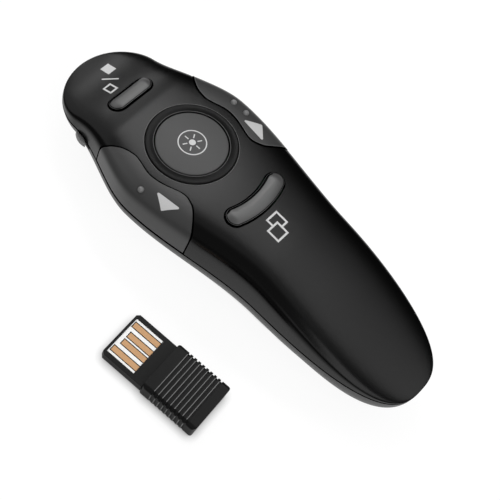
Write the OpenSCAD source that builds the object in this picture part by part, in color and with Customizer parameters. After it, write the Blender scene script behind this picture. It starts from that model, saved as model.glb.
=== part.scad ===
// Wireless presentation clicker with its USB receiver beside it.
// X runs from the laser end to the tail, Y to the right-hand key, Z up from the rest face.

/* [Outline] */
// Overall length of the clicker
body_len = 104; // [102:0.5:108]
// Length of the rounded laser end
head_len = 10.3; // [9.5:0.1:11]
// Half width at the laser end
head_half = 12.3; // [12:0.1:12.8]
// Place of the widest section, from the laser end
wing_at = 32; // [31:0.1:34]
// Half width at the widest section
wing_half = 18; // [17.6:0.1:19]
// Place where the grip becomes the tail, from the laser end
grip_at = 66.5; // [64:0.1:68]
// Half width of the grip
grip_half = 13.75; // [13.6:0.05:14.5]
// Squareness of the tail's outline
tail_power = 2.75; // [2.4:0.05:3.4]

/* [Profile] */
// Height of the joint between the two shells
split_h = 10.5; // [10.3:0.1:11]
// Depth of the lower shell's curve that its rest face cuts away
rest_cut = 1.1; // [0.9:0.1:1.7]
// Height of the crown over the joint at the laser end
nose_rise = 0.5; // [0.4:0.1:0.8]
// Height of the crown over the joint where the key deck begins
deck_rise = 7.3; // [7.1:0.1:7.7]
// Place where the key deck begins, from the laser end
deck_at = 20; // [19:0.5:21]
// Greatest height of the crown over the joint
crown_rise = 10.2; // [10:0.1:10.8]
// Place of the greatest height, from the laser end
crown_at = 56; // [54:0.5:60]
// Height of the crown over the joint at the tail
tail_rise = 0.3; // [0.3:0.1:0.8]
// Share of the crown's height lost by the arch across the body
arch = 0.03; // [0.02:0.01:0.06]
// Squareness of the upper shell's section
shoulder_power = 8.7; // [7:0.1:9.5]
// Wall of both shells
wall = 1.6; // [1.4:0.1:1.8]
// Width of the shadow line between the shells
reveal = 0.25; // [0.15:0.05:0.35]

/* [Keys] */
// Slope of the key deck and of the board under it, in degrees
deck_tilt = 7.5; // [7:0.5:8]
// Place of the round button, from the laser end
ring_at = 32.4; // [32:0.1:33]
// Outer radius of the trim ring
ring_r = 10.15; // [10:0.05:10.3]
// Radius of the round button
button_r = 8; // [7.8:0.1:8.2]
// Travel of every key
key_travel = 0.25; // [0.2:0.05:0.3]
// Gap around every key
key_gap = 0.3; // [0.25:0.05:0.35]
// Height of the straight and the curved key over the shell
key_proud = 0.6; // [0.5:0.05:0.8]
// Height of the side keys over the shell
wing_proud = 0.15; // [0.1:0.05:0.3]
// Place of the straight key, from the laser end
screen_key_at = 14.3; // [14:0.1:14.6]
// Half length of the straight key between its end centres
screen_key_half = 3.8; // [3.6:0.1:4]
// Half width of the straight key
screen_key_r = 2.1; // [2:0.05:2.2]
// Radius of the curved key's centre line about the round button
window_key_arc = 19.5; // [19.2:0.1:20]
// Half angle that the curved key covers, in degrees
window_key_angle = 19; // [17:0.5:20]
// Half width of the curved key
window_key_r = 2.2; // [2.1:0.05:2.3]
// Radius of the raised dots on the side keys
dot_r = 0.7; // [0.6:0.05:0.8]

/* [Electronics] */
// Depth of the board under the key deck
board_drop = 5.4; // [5.3:0.05:5.6]
// Thickness of the board
board_t = 1; // [0.8:0.1:1.2]
// Side of a tact switch
switch_w = 3.6; // [3:0.1:4]
// Height of a tact switch's body
switch_h = 1.6; // [1.5:0.1:1.7]
// Radius of a tact switch's plunger
plunger_r = 0.8; // [0.7:0.05:0.9]
// Height of the laser's axis
laser_h = 6.8; // [6.6:0.1:6.9]
// Radius of the laser module
laser_r = 2.6; // [2.4:0.1:2.7]
// Length of the laser module
laser_len = 9.5; // [8.5:0.5:10]
// Travel of the power slider
slider_travel = 2; // [1.8:0.1:2.1]
// Length of the power slider's knob
slider_len = 3.9; // [3.5:0.1:4.2]

/* [Battery] */
// Radius of the battery, an AAA cell
cell_r = 5.25; // [5:0.05:5.25]
// Length of the battery over its nub
cell_len = 44.5; // [43.5:0.1:44.5]
// Place of the nub's tip, from the laser end
cell_at = 40.2; // [39.8:0.1:40.4]
// Height of the battery's axis
cell_h = 7.8; // [7.7:0.1:8]
// Half width of the battery door, as seen from below
door_half = 7; // [6.8:0.1:7.2]
// Thickness of the battery door
door_t = 1.5; // [1.3:0.1:1.6]
// Place of the battery door's front edge, from the laser end
door_at = 42; // [41.5:0.5:43]

/* [Receiver] */
// Width of the receiver's USB plug
plug_w = 12; // [12:0.05:12.1]
// Length of the plug outside the grip
plug_len = 11.1; // [10.5:0.1:12]
// Thickness of the plug
plug_t = 2.3; // [2.2:0.05:2.4]
// Width of the grip
grip_w = 12.7; // [12.5:0.1:14]
// Length of the grip
grip_len = 14.3; // [13.8:0.1:16]
// Thickness of the grip
grip_t = 5; // [4.8:0.1:5.6]
// Place of the plug's front edge, from the middle of the clicker
receiver_x = -2.1; // [-6:0.1:4]
// Distance of the plug's front edge from the clicker's centre line
receiver_y = 36; // [34:0.1:40]
// Angle between the receiver and the clicker, in degrees
receiver_turn = 4; // [0:0.5:8]
// Number of ribs on the grip
rib_count = 9; // [5:1:11]

/* [Hidden] */
$fn = 64;
eps = 0.01;
far = 200;
mid = body_len / 2;
// Depth of the lower shell's curve, before its rest face is cut
belly_depth = split_h + rest_cut;

// Slopes of the crown line at its three fixed places
nose_slope = 0.1;
deck_slope = 0.12;
tail_slope = -0.195;
// Squareness of the lower shell's section: at the laser end, in the middle, at the tail
nose_square = 1.5;
belly_square = 2.1;
tail_square = 3;
// Where the middle of the belly begins and ends, from the laser end
belly_from = 22;
belly_to = 79;
// Share of the belly's depth lost at the laser end and at the tail
nose_lift = 0.15;
tail_lift = 0.05;

stations = 40;
arc_steps = 20;

function clamp01(t) = min(max(t, 0), 1);
function ease(t) = let (u = clamp01(t)) u * u * (3 - 2 * u);
function mix(a, b, t) = a + (b - a) * t;
function hermite(a, b, slope_a, slope_b, length, t) = let (u = clamp01(t))
    (2 * u^3 - 3 * u^2 + 1) * a + (3 * u^2 - 2 * u^3) * b
    + length * ((u^3 - 2 * u^2 + u) * slope_a + (u^3 - u^2) * slope_b);

// Half width of the outline at s from the laser end, inset by d.
function half_w(s, d = 0) =
    s < head_len ? (head_half - d) * sqrt(max(0, 1 - ((head_len - s) / (head_len - d))^2))
    : s < wing_at ? mix(head_half, wing_half, ease((s - head_len) / (wing_at - head_len))) - d
    : s < grip_at ? mix(wing_half, grip_half, ease((s - wing_at) / (grip_at - wing_at))) - d
    : (grip_half - d)
        * max(0, 1 - ((s - grip_at) / (body_len - grip_at - d))^tail_power)^(1 / tail_power);

// Height of the crown line over the joint.
function crown(s) =
    s < deck_at ? hermite(nose_rise, deck_rise, nose_slope, deck_slope, deck_at, s / deck_at)
    : s < crown_at ? hermite(deck_rise, crown_rise, deck_slope, 0, crown_at - deck_at,
        (s - deck_at) / (crown_at - deck_at))
    : hermite(crown_rise, tail_rise, 0, tail_slope, body_len - crown_at,
        (s - crown_at) / (body_len - crown_at));
function crown_slope(s) = atan(crown(s + 0.5) - crown(s - 0.5));

// Distance from the spine at (s, y): 0 on the spine, 1 on the outline.
function spread(s, y, d = 0) =
    s < head_len ? norm([(head_len - s) / (head_len - d), y / (head_half - d)])
    : s > grip_at ? (((s - grip_at) / (body_len - grip_at - d))^tail_power
        + (abs(y) / (grip_half - d))^tail_power)^(1 / tail_power)
    : abs(y) / half_w(s, d);
function dome(u, p) = u > 1 - 1e-6 ? 0 : (1 - u^p)^(1 / p);
function top_z(s, y, d = 0) = let (u = spread(s, y, d))
    max(crown(s) - d, 0.05) * (1 - arch * min(u, 1)^2) * dome(u, shoulder_power);
function belly_power(s) =
    s < belly_from ? mix(nose_square, belly_square, ease(s / belly_from))
    : mix(belly_square, tail_square, ease((s - belly_to) / (body_len - belly_to)));
function belly_z(s, y, d = 0) = let (e = 2 * s / body_len - 1, lift = e < 0 ? nose_lift : tail_lift)
    -max(belly_depth * (1 - lift * e^4) - d, 0.05) * dome(spread(s, y, d), belly_power(s));

// Stations along the body, closer together at both ends.
function station(i, n, d) = let (t = (1 - cos(180 * i / n)) / 2)
    mix(d + 0.02, body_len - d - 0.02, t);
// One section from the near side over the top (or under the belly) to the far side.
function section(s, n, d, upper) = [for (k = [0 : n])
    let (c = cos(180 * k / n), y = -sign(c) * abs(c)^(upper ? 0.5 : 0.8) * half_w(s, d))
    [s - mid, y, upper ? top_z(s, y, d) : belly_z(s, y, d)]];

// Closed solid between the joint plane and the top or the belly surface, inset by d.
module half_body(upper, d = 0, rings = stations, steps = arc_steps) {
    m = steps + 1;
    points = [for (i = [0 : rings]) each section(station(i, rings, d), steps, d, upper)];
    sides = [for (i = [0 : rings - 1], k = [0 : steps - 1]) let (a = i * m + k)
        each [[a, a + m, a + 1], [a + 1, a + m, a + m + 1]]];
    lids = [for (i = [0 : rings - 1]) let (a = i * m)
        [a, a + steps, a + steps + m, a + m]];
    ends = [[for (k = [0 : steps]) k], [for (k = [steps : -1 : 0]) rings * m + k]];
    faces = concat(sides, lids, ends);
    translate([0, 0, split_h])
        polyhedron(points, upper ? [for (f = faces) [for (k = [len(f) - 1 : -1 : 0]) f[k]]] : faces);
}

// Plan of the body, inset by d.
module plan(d = 0) {
    side = [for (i = [0 : stations]) let (s = station(i, stations, d)) [s - mid, half_w(s, d)]];
    polygon(concat(side, [for (i = [stations : -1 : 0]) [side[i][0], -side[i][1]]]));
}

// Frame of the key deck: its origin is on the crown over the round button.
module deck() {
    translate([ring_at - mid, 0, split_h + crown(ring_at)]) rotate([0, -deck_tilt, 0]) children();
}
function deck_x(s, z) = (s - ring_at) * cos(deck_tilt) + (z - crown(ring_at)) * sin(deck_tilt);
function deck_z(s, z) = (z - crown(ring_at)) * cos(deck_tilt) - (s - ring_at) * sin(deck_tilt);
// Place on the deck frame under the crown at s.
function under(s) = deck_x(s, crown(s));

// Frame of a key's cap: on the crown at s and in line with the surface there.
module cap_frame(s) {
    translate([s - mid, 0, split_h + crown(s)]) rotate([0, -crown_slope(s), 0]) children();
}

board_z = -board_drop;
plunger_top = board_z + switch_h + key_travel;
side_switch_y = 12.2;
side_switch_at = 39.6;
window_at = ring_at + window_key_arc;
// Place of each tact switch on the board: along the deck, then across it
switch_spots = [[0, 0], [under(side_switch_at), -side_switch_y],
    [under(side_switch_at), side_switch_y], [under(screen_key_at), 0], [under(window_at), 0]];

module stem(spot, height, r = 1.4) {
    translate([spot[0], spot[1], plunger_top]) cylinder(r = r, h = height);
}
module plunger(spot) {
    depth = 0.6;
    deck() translate([spot[0], spot[1], plunger_top - key_travel - depth])
        cylinder(r = plunger_r, h = key_travel + depth);
}

// Inner edge of a side key: two lobes either side of the round button.
wing_front = 19.6;
wing_back = 47.4;
wing_edge = [[wing_front, half_w(wing_front)], [20.5, 13.9], [21.5, 13], [23.6, 11.8], [26.2, 11.3],
    [28, 11.6], [30.8, 12.4], [33, 12.5], [35.5, 12], [38.8, 10.9], [40.4, 10.7], [41.7, 11],
    [43.3, 11.8], [45, 13.5], [46.3, 15], [wing_back, half_w(wing_back)]];
function spline_point(a, b, c, d, t) = 0.5 * (2 * b + (c - a) * t
    + (2 * a - 5 * b + 4 * c - d) * t^2 + (3 * b - a - 3 * c + d) * t^3);
function spline(p, n = 3) = [for (i = [0 : len(p) - 2], k = [0 : n - 1])
    let (a = i == 0 ? 2 * p[0] - p[1] : p[i - 1],
         d = i == len(p) - 2 ? 2 * p[i + 1] - p[i] : p[i + 2])
    spline_point(a, p[i], p[i + 1], d, k / n)];
// Plan of a side key on the far side, grown by g.
module wing_plan(g = 0) {
    centre = (wing_front + wing_back) / 2;
    grow = 1 + 2 * g / (wing_back - wing_front);
    edge = [for (q = spline(wing_edge)) [centre + (q[0] - centre) * grow - mid, q[1] - g]];
    reach = wing_half + 4;
    last = centre + (wing_back - centre) * grow - mid;
    polygon(concat(edge, [[last, half_w(wing_back) - g], [last + 1, reach], [edge[0][0] - 1, reach]]));
}

// Power slider's frame: on the near wall under the joint, X along the wall, in the middle
// of its travel.
slider_at = 14.2;
slider_turn = atan(half_w(slider_at + 0.5) - half_w(slider_at - 0.5));
slider_drop = 1.05;
slider_h = 1.6;
slider_pin = 1.8;
slider_pin_h = 1;
module slider_frame() {
    translate([slider_at - mid, -half_w(slider_at), split_h - slider_drop])
        rotate([0, 0, -slider_turn]) children();
}

// Screws that hold the shells together, [from the laser end, across]
case_spots = [[22.4, 9.4], [22.4, -9.4], [72, 10.4], [72, -10.4]];
boss_r = 2.4;
// Screws that hang the board from the upper shell, [from the laser end, across]
board_spots = [[19.2, 0], [45, 7.2], [45, -7.2]];
post_r = 1.6;
screw_r = 0.9;
screw_head_r = 1.75;
screw_head_h = 1.3;
// Height of the case screws' tips
case_screw_top = 12.4;
// Height of a case screw's seat, with its head sunk into the belly
function screw_seat(q) = split_h + belly_z(q[0], abs(q[1]) + screw_head_r) + screw_head_h + 0.4;
board_screw_len = 2.6;

module at_spot(q) { translate([q[0] - mid, q[1], 0]) children(); }
module on_board(q) { deck() translate([under(q[0]), q[1], board_z]) children(); }

// Pill-shaped cap with a rounded top, its centre line along Y.
module pill(half, r, rise, drop) {
    edge = rise * 0.55;
    crown_r = (r^2 + (rise - edge)^2) / (2 * (rise - edge));
    module outline() intersection() {
        translate([0, -drop]) square([r, drop + rise]);
        union() {
            translate([0, -drop]) square([r, drop + edge]);
            translate([0, rise - crown_r]) circle(r = crown_r, $fn = 128);
        }
    }
    for (end = [-1, 1]) translate([0, end * half, 0]) rotate_extrude() outline();
    rotate([90, 0, 0]) linear_extrude(2 * half, center = true)
        union() { outline(); mirror([1, 0]) outline(); }
}

// Upper shell: crowned cover with openings for the five keys.
module upper_shell() color("#1b1b1c") difference() {
    union() {
        difference() {
            half_body(true);
            translate([0, 0, -eps]) half_body(true, wall, 26, 14);
        }
        intersection() {
            half_body(true, wall / 2, 26, 14);
            union() {
                for (q = case_spots)
                    at_spot(q) translate([0, 0, split_h]) cylinder(r = boss_r, h = far);
                for (q = board_spots) on_board(q) cylinder(r = post_r, h = far);
            }
        }
    }
    for (q = case_spots) at_spot(q) cylinder(r = screw_r, h = split_h + 3.5);
    for (q = board_spots) on_board(q) cylinder(r = screw_r, h = 1.8);
    cap_frame(ring_at) {
        translate([0, 0, -ring_seat]) cylinder(r = ring_r + ring_gap, h = far);
        translate([0, 0, board_z + 1]) cylinder(r = ring_neck_r + 0.05, h = far);
    }
    cap_frame(screen_key_at)
        translate([0, 0, -3 * wall]) linear_extrude(far) pill_plan(screen_key_half, screen_key_r + key_gap);
    cap_frame(window_at) translate([0, 0, -3 * wall]) linear_extrude(far) arc_plan(key_gap);
    for (side = [-1, 1]) mirror_side(side)
        translate([0, 0, split_h - eps]) linear_extrude(far) wing_plan(key_gap);
}
module mirror_side(side) { if (side > 0) children(); else mirror([0, 1, 0]) children(); }
module pill_plan(half, r) {
    for (end = [-1, 1]) translate([0, end * half]) circle(r = r);
    square([2 * r, 2 * half], center = true);
}
// Plan of the curved key, grown by g, in its own frame.
module arc_plan(g = 0) {
    r = window_key_r + g;
    steps = 10;
    outer = [for (k = [-steps : steps]) let (a = window_key_angle * k / steps)
        (window_key_arc + r) * [cos(a), sin(a)] - [window_key_arc, 0]];
    inner = [for (k = [steps : -1 : -steps]) let (a = window_key_angle * k / steps)
        (window_key_arc - r) * [cos(a), sin(a)] - [window_key_arc, 0]];
    polygon(concat(outer, inner));
    for (end = [-1, 1])
        translate(window_key_arc * [cos(window_key_angle) - 1, end * sin(window_key_angle)]) circle(r = r);
}

// Lower shell: belly with the battery bay, cut flat to stand on.
bay_front = cell_at - 0.9;
bay_back = cell_at + cell_len + 3.2;
bay_half = cell_r + 0.5;
module lower_shell() color("#2b2b2d") difference() {
    union() {
        difference() {
            half_body(false);
            difference() {
                translate([0, 0, eps]) half_body(false, wall, 26, 14);
                translate([-far / 2, -far / 2, wall - far]) cube(far);
            }
        }
        intersection() {
            half_body(false, wall / 2, 26, 14);
            union() {
                for (q = case_spots) at_spot(q) cylinder(r = boss_r, h = split_h);
                for (s = [bay_front - wall, bay_back])
                    translate([s - mid, -bay_half, 0]) cube([wall, 2 * bay_half, split_h]);
                for (s = [5.2, 10.2])
                    translate([s - mid, -laser_r - 1, 0]) cube([1.4, 2 * laser_r + 2, laser_h]);
            }
        }
        // fence behind the side keys, which closes the gap under them
        intersection() {
            translate([0, 0, split_h - 4]) linear_extrude(6) difference() {
                plan(wall + 0.3);
                plan(wall + 1.1);
            }
            translate([wing_front - 0.5 - mid, -far / 2, 0]) cube([wing_back - wing_front + 1, far, far]);
        }
    }
    // rest face
    translate([-far / 2, -far / 2, -far]) cube(far);
    // shadow line at the joint
    translate([0, 0, split_h - reveal]) difference() {
        linear_extrude(1) square([far, far], center = true);
        translate([0, 0, -1]) linear_extrude(3) plan(wall / 2);
    }
    // screw holes
    for (q = case_spots) at_spot(q) {
        translate([0, 0, -1]) cylinder(r = screw_r + 0.2, h = far);
        translate([0, 0, -1]) cylinder(r = screw_head_r + 0.15, h = screw_seat(q) + 1);
    }
    // laser seat and nose hole
    along_laser() translate([0, 0, -1]) cylinder(r = bezel_r + 0.05, h = 6);
    along_laser() translate([0, 0, laser_at]) cylinder(r = laser_r + 0.03, h = laser_len + 1);
    // opening for the battery door, with a ledge under each of its flanges
    door_solid(door_gap);
    // power slider's slot
    slot = slider_pin + slider_travel + 2 * key_gap;
    slider_frame() translate([-slot / 2, -2, -slider_pin_h / 2 - reveal])
        cube([slot, 2 + 2 * wall, slider_h + slider_drop]);
}

// Trim ring round the main button, seated in the shell.
ring_seat = 1;
ring_gap = 0.15;
ring_neck_r = ring_r - 0.8;
ring_proud = 0.15;
module button_ring() color("#141414") cap_frame(ring_at) difference() {
    union() {
        translate([0, 0, -ring_seat]) cylinder(r = ring_r, h = ring_seat + ring_proud);
        translate([0, 0, -ring_seat - 1.2]) cylinder(r = ring_neck_r, h = 2);
    }
    translate([0, 0, -5]) cylinder(r = button_r + key_gap, h = 10);
    translate([0, 0, ring_proud]) rotate_extrude()
        translate([(ring_r + button_r + key_gap) / 2, 0]) scale([3.2, 1]) circle(r = 0.2);
}

// Main round button with a slightly domed face.
module laser_button() color("#454547") {
    dome_r = 90;
    cap_frame(ring_at) {
        intersection() {
            translate([0, 0, -2]) cylinder(r = button_r, h = 3);
            translate([0, 0, ring_proud + 0.35 - dome_r]) sphere(r = dome_r, $fn = 200);
        }
        for (a = [0 : 90 : 270]) rotate([0, 0, a]) translate([0, -0.4, -2.8]) cube([button_r - 0.6, 0.8, 1]);
    }
    deck() stem(switch_spots[0], -1.7 - plunger_top, 2);
}
module laser_plunger() color("#c9c9c4") plunger(switch_spots[0]);

// Side key: a shell of the same form as the cover, standing a little proud of it.
module side_key(side) {
    underside = key_travel + 0.1;
    mirror_side(side) difference() {
        intersection() {
            translate([0, 0, wing_proud]) half_body(true);
            translate([0, 0, split_h + underside]) linear_extrude(far) wing_plan(0);
        }
        half_body(true, wall, 26, 14);
    }
    deck() intersection() {
        stem(switch_spots[side < 0 ? 1 : 2], 5, 1.3);
        translate([-far / 2, -far / 2, -far + plunger_top + 2]) cube(far);
    }
}
module tactile_dot(s, y) {
    translate([s - mid, y, split_h + top_z(s, abs(y)) + wing_proud]) sphere(r = dot_r, $fn = 24);
}
module previous_key() color("#4b4b4d") { side_key(-1); tactile_dot(32.8, -16.2); }
module next_key() color("#4b4b4d") { side_key(1); tactile_dot(31.2, 15.1); tactile_dot(34.9, 15); }
module previous_plunger() color("#c9c9c4") plunger(switch_spots[1]);
module next_plunger() color("#c9c9c4") plunger(switch_spots[2]);

// Straight key near the laser end.
module screen_key() color("#5a5a5c") {
    cap_frame(screen_key_at) pill(screen_key_half, screen_key_r, key_proud + 0.2, 1.4);
    deck() stem(switch_spots[3], 2, 1.4);
}
module screen_plunger() color("#c9c9c4") plunger(switch_spots[3]);

// Curved key behind the round button.
module window_key() color("#555557") {
    cap_frame(window_at) {
        translate([0, 0, -1.6]) linear_extrude(1.6 + key_proud * 0.6) arc_plan(0);
        translate([0, 0, key_proud * 0.6 - eps]) linear_extrude(0.3) arc_plan(-0.35);
        translate([0, 0, key_proud * 0.6 + 0.28]) linear_extrude(0.15) arc_plan(-0.9);
    }
    deck() stem(switch_spots[4], 1.7, 1.5);
}
module window_plunger() color("#c9c9c4") plunger(switch_spots[4]);

// Board that carries the switches, hung under the key deck.
board_front = 11.4;
board_back = 57;
// Its half widths at the laser end, along its neck, under the side keys and behind them
board_head_half = 7;
board_neck_half = 5.4;
board_wing_half = 14;
board_tail_half = 9.2;
// Length of its head, and where its wide parts begin and end
board_head_len = 5;
board_wing_at = 27;
board_tail_at = 40;
board_wing_end = 45.5;
module board_strip(front, back, half) {
    translate([deck_x(front, 0), -half]) square([back - front, 2 * half]);
}
module circuit_board() color("#1f5a34") deck() translate([0, 0, board_z - board_t]) difference() {
    linear_extrude(board_t) difference() {
        union() {
            board_strip(board_front, board_front + board_head_len, board_head_half);
            board_strip(board_front, board_back, board_neck_half);
            board_strip(board_wing_at, board_wing_end, board_wing_half);
            board_strip(board_tail_at, board_back, board_tail_half);
        }
        for (q = board_spots) translate([under(q[0]), q[1]]) circle(r = screw_r + 0.2);
    }
}
module switch_body() {
    difference() {
        translate([-switch_w / 2, -switch_w / 2, 0]) cube([switch_w, switch_w, switch_h]);
        translate([0, 0, 0.35]) cylinder(r = plunger_r + 0.05, h = switch_h);
    }
}
module switch_bodies() color("#8a8d90") deck()
    for (q = switch_spots) translate([q[0], q[1], board_z]) switch_body();

// Parts soldered under the board, [from the laser end, across, length, width, height]
module under_board(s, y, size) {
    deck() translate([under(s) - size[0] / 2, y - size[1] / 2, board_z - board_t - size[2]]) cube(size);
}
module controller_chip() color("#202022") under_board(31, 0, [7, 7, 1.2]);
module radio_chip() color("#242426") under_board(23, -3, [4.4, 4.4, 1]);
module crystal() color("#b9bcc0") under_board(22.6, 3.6, [3.2, 2.5, 0.8]);
module capacitors() color("#b08a5a")
    for (k = [0 : 5]) under_board(27 + 2.4 * k, k % 2 == 0 ? 7 : -7, [1.6, 0.8, 0.8]);

// Slide switch on the near edge of the board, and its knob outside the wall.
switch_depth = 2.4;
module power_switch() color("#9a9da0") slider_frame() {
    long = slider_len + slider_travel + 1.2;
    translate([-long / 2, 2 * wall + 0.6, -slider_h / 2 - 0.8]) cube([long, switch_depth, slider_h + 0.3]);
}
knob_r = 3.7;
knob_proud = 0.9;
knob_gap = 0.35;
module power_slider() color("#3a3a3c") slider_frame() translate([-slider_travel / 2, 0, 0]) {
    intersection() {
        translate([-slider_len / 2, -2, -slider_h / 2]) cube([slider_len, 2 - knob_gap, slider_h]);
        translate([0, knob_r - knob_proud, -slider_h]) cylinder(r = knob_r, h = 2 * slider_h, $fn = 128);
    }
    translate([-slider_pin / 2, -knob_gap - 0.2, -slider_pin_h / 2])
        cube([slider_pin, 2 * wall + knob_gap + 0.75, slider_pin_h]);
    // plate that closes the slot on both sides of the pin
    plate = slider_pin + 2 * slider_travel + 2 * key_gap + 0.2;
    translate([-plate / 2, wall + 0.55, -slider_h / 2]) cube([plate, 0.5, slider_h + 0.3]);
}

// Laser module, its lens and the bezel in the nose.
laser_at = 4.8;
bezel_r = 1.9;
module along_laser() { translate([-mid, 0, laser_h]) rotate([0, 90, 0]) children(); }
module laser_module() color("#b08d3f") along_laser() translate([0, 0, laser_at]) difference() {
    union() {
        cylinder(r = laser_r, h = laser_len - 1.6);
        cylinder(r = laser_r - 0.5, h = laser_len);
    }
    translate([0, 0, -1]) cylinder(r = 1.5, h = 3);
}
module laser_lens() color("#9fb8c8") along_laser() translate([0, 0, laser_at + 0.6]) intersection() {
    cylinder(r = 1.5, h = 1.4);
    translate([0, 0, 3]) sphere(r = 3);
}
module nose_bezel() color("#2a2a2c") intersection() {
    half_body(false, -0.1);
    along_laser() translate([0, 0, -1]) difference() {
        cylinder(r = bezel_r, h = laser_at + 1);
        translate([0, 0, -1]) cylinder(r = 1.3, h = 9);
    }
}

module screw(length) {
    translate([0, 0, -screw_head_h]) difference() {
        cylinder(r = screw_head_r, h = screw_head_h);
        for (a = [0, 90]) rotate([0, 0, a]) translate([-1.1, -0.2, -0.1]) cube([2.2, 0.4, 0.7]);
    }
    cylinder(r = screw_r - 0.02, h = length);
}
module case_screws() color("#a9abad") for (q = case_spots)
    at_spot(q) translate([0, 0, screw_seat(q)]) screw(case_screw_top - screw_seat(q));
module board_screws() color("#a9abad")
    for (q = board_spots) on_board(q) translate([0, 0, -board_t]) screw(board_screw_len);

// AAA cell and its two contacts.
module along_cell() { translate([cell_at - mid, 0, cell_h]) rotate([0, 90, 0]) children(); }
module battery() color("#c8a24a") along_cell() rotate_extrude() polygon([[0, 0], [1.9, 0], [1.9, 0.8],
    [cell_r - 0.5, 0.8], [cell_r, 1.3], [cell_r, cell_len - 0.5], [cell_r - 0.5, cell_len], [0, cell_len]]);
contact_t = 0.4;
contact_gap = 0.3;
contact_half = 4.5;
// Heights of the board's underside and of the room between the shells, at s and y
function board_under(s) = split_h + crown(ring_at) + (s - ring_at) * tan(deck_tilt)
    - (board_drop + board_t) / cos(deck_tilt);
function room_low(s, y) = max(wall, split_h + belly_z(s, y, wall));
function room_high(s, y) = min(split_h + top_z(s, y, wall), s > board_back ? far : board_under(s));
// Metal plate across the body at s, from height low to high.
module contact_plate(s, half, low, high) {
    translate([s - mid, -half, low]) cube([contact_t, 2 * half, high - low]);
}
module battery_contact() color("#c9b27a") {
    s = cell_at - contact_t;
    contact_plate(s, contact_half, cell_h - contact_half,
        min(cell_h + contact_half, room_high(s, contact_half) - contact_gap));
    // tail that runs up to the board
    contact_plate(s, contact_half / 4, cell_h, room_high(s, 0) - eps);
}
// Points of one ring of wire on the conical spring, at turn t.
spring_turns = 3;
spring_wire = 0.28;
function spring_ring(t, total) = let (r = mix(1.6, 3.6, t / spring_turns), a = 360 * t,
    z = total * t / spring_turns)
    [for (k = [0 : 5]) let (b = 60 * k) [(r + spring_wire * cos(b)) * cos(a),
        (r + spring_wire * cos(b)) * sin(a), z + spring_wire * sin(b)]];
module battery_spring() color("#cfd2d4") {
    half = contact_half - 0.3;
    s = bay_back - contact_t;
    contact_plate(s, half, max(cell_h - half, room_low(bay_back, half) + contact_gap),
        min(cell_h + half, room_high(bay_back, half) - contact_gap));
    along_cell() translate([0, 0, cell_len]) spring_coil();
}
module spring_coil() {
    total = bay_back - cell_at - cell_len - contact_t;
    n = spring_turns * 16;
    points = [for (i = [0 : n]) each spring_ring(i * spring_turns / n, total - 2 * spring_wire)];
    faces = concat([[for (k = [5 : -1 : 0]) k]], [[for (k = [0 : 5]) n * 6 + k]],
        [for (i = [0 : n - 1], k = [0 : 5]) let (a = i * 6 + k, b = i * 6 + (k + 1) % 6)
            each [[a, b, a + 6], [b, b + 6, a + 6]]]);
    translate([0, 0, spring_wire + 0.02]) polyhedron(points, faces);
}

// Battery door: hangs on its side flanges and slides off towards the tail.
door_gap = 0.15;
flange = 1;
flange_t = 0.65;
module door_solid(g = 0) {
    reach = body_len - door_at + g;
    translate([door_at - g - mid, -door_half - g, -g]) cube([reach, 2 * (door_half + g), door_t + 2 * g]);
    translate([door_at - g - mid, -door_half - flange - g, door_t - flange_t - g])
        cube([reach, 2 * (door_half + flange + g), flange_t + 2 * g]);
}
module battery_door() color("#29292b") difference() {
    intersection() {
        half_body(false);
        door_solid();
    }
    for (k = [0 : 5]) translate([door_at + 3 + 1.3 * k - mid, -4, -1]) cube([0.6, 8, 1.3]);
}

// USB receiver lying beside the clicker.
plug_lift = 0.8;
pocket_at = 0.6;
pocket_len = 7.4;
pocket_side = 1.1;
pocket_floor = 0.7;
receiver_board_w = 10.3;
tongue_w = 9.6;
tongue_len = 2.6;
grip_round = 0.9;
module receiver_frame() {
    translate([receiver_x, -receiver_y, 0]) rotate([0, 0, receiver_turn]) children();
}
// Rectangle with round corners, standing on the X axis.
module rounded(w, h, r) {
    translate([r - w / 2, 0]) square([w - 2 * r, h]);
    translate([-w / 2, r]) square([w, h - 2 * r]);
    for (x = [-1, 1], y = [r, h - r]) translate([x * (w / 2 - r), y]) circle(r = r);
}
module across_grip(at, length) {
    translate([plug_len + at, 0, 0]) rotate([90, 0, 90]) linear_extrude(length) children();
}
rib_at = 2.8;
rib_pitch = 1.1;
rib_groove = 0.45;
rib_depth = 0.3;
module receiver_grip() color("#202021") receiver_frame() difference() {
    intersection() {
        across_grip(0, grip_len) rounded(grip_w, grip_t, grip_round);
        translate([plug_len, 0, -1]) rotate([0, 0, -90]) linear_extrude(far)
            rounded(grip_w, grip_len, grip_round);
    }
    for (k = [0 : rib_count - 1]) across_grip(rib_at + rib_pitch * k, rib_groove) difference() {
        translate([-far / 2, -1]) square(far);
        translate([0, -2]) rounded(grip_w - 2 * rib_depth, grip_t + 2 - rib_depth, grip_round - 0.2);
    }
    translate([plug_len - 1, -receiver_board_w / 2, plug_lift])
        cube([grip_len - 0.9, receiver_board_w, 3]);
    across_grip(-1, tongue_len + 2) translate([-tongue_w / 2, plug_lift]) square([tongue_w, plug_t]);
}
module receiver_plug_frame() color("#161617") receiver_frame() difference() {
    union() {
        translate([0, -plug_w / 2, plug_lift]) cube([plug_len, plug_w, plug_t]);
        translate([0, -tongue_w / 2, plug_lift]) cube([plug_len + tongue_len, tongue_w, plug_t]);
    }
    plug_pocket(plug_t);
    for (side = [-1, 1]) translate([0, side * plug_w / 2, 0])
        rotate([0, 0, 45]) cube([0.9, 0.9, far], center = true);
}
module plug_pocket(h) {
    translate([pocket_at, -plug_w / 2 + pocket_side, plug_lift + pocket_floor])
        cube([pocket_len, plug_w - 2 * pocket_side, h]);
}
module receiver_insulator() color("#f2f2ee") receiver_frame() difference() {
    plug_pocket(plug_t - pocket_floor - 0.15);
    contact_pads(0.25);
}
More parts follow.
